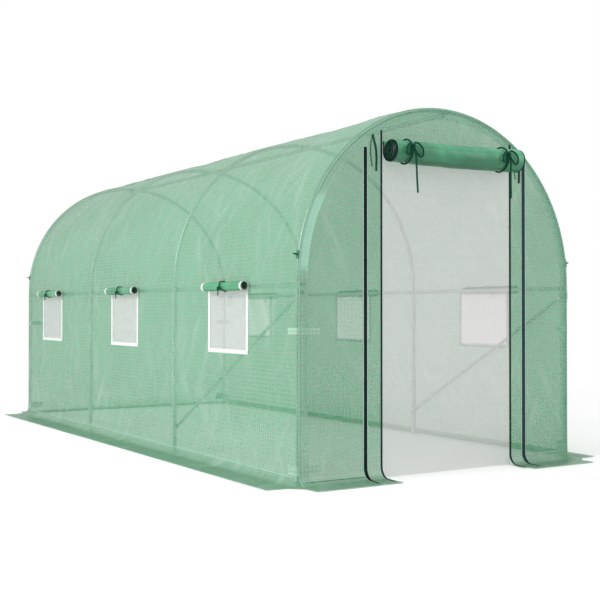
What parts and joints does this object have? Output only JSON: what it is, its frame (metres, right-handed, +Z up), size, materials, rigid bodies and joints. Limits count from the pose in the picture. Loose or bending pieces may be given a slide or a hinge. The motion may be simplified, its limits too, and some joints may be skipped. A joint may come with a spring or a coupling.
{
  "type": "polytunnel greenhouse",
  "caption": "Walk-in tunnel greenhouse: galvanized tube hoops under a translucent green cover with roll-up windows, a zipped mesh door and a ground skirt.",
  "frame": {"origin": "middle of the tunnel's footprint, on the ground", "axes": "+Z up, +Y along the tunnel from the door end to the closed end, +X across it, to the right as seen from the door end"},
  "size_m": [2.416, 5.046, 2.1],
  "materials": {
    "galvanized_tube": "galvanized",
    "cover_sheet": "translucent, with a fine reinforcing grid",
    "rolled_sheet": "satin",
    "mesh_screen": "fine mesh",
    "white_binding": "woven tape",
    "zip": "coil zip on tape",
    "tie_cord": "braided"
  },
  "bodies": {
    "root": {"hoop_front": "galvanized_tube", "hoop_second": "galvanized_tube", "hoop_third": "galvanized_tube", "hoop_rear": "galvanized_tube", "ridge_beam": "galvanized_tube", "left_rail": "galvanized_tube", "right_rail": "galvanized_tube", "left_brace": "galvanized_tube", "right_brace": "galvanized_tube", "left_wall_cover": "cover_sheet", "right_wall_cover": "cover_sheet", "roof_left_cover": "cover_sheet", "roof_crown_cover": "cover_sheet", "roof_right_cover": "cover_sheet", "rear_panel": "cover_sheet", "front_panel_left": "cover_sheet", "front_panel_right": "cover_sheet", "front_panel_top": "cover_sheet", "door_strip_left": "cover_sheet", "door_strip_right": "cover_sheet", "left_skirt": "cover_sheet", "right_skirt": "cover_sheet", "rear_skirt": "cover_sheet", "front_skirt_left": "cover_sheet", "front_skirt_right": "cover_sheet", "screen_door": "mesh_screen", "left_zips": "zip", "right_zips": "zip", "door_roll": "rolled_sheet", "door_ties": "tie_cord", "door_tie_tails": "tie_cord", "screen_straps": "tie_cord", "left_window_borders": "white_binding", "right_window_borders": "white_binding", "left_window_screens": "mesh_screen", "right_window_screens": "mesh_screen", "left_window_rolls": "rolled_sheet", "right_window_rolls": "rolled_sheet", "left_window_ties": "tie_cord", "right_window_ties": "tie_cord", "left_tie_tails": "tie_cord", "right_tie_tails": "tie_cord", "corner_loops": "tie_cord"}
  },
  "joints": []
}
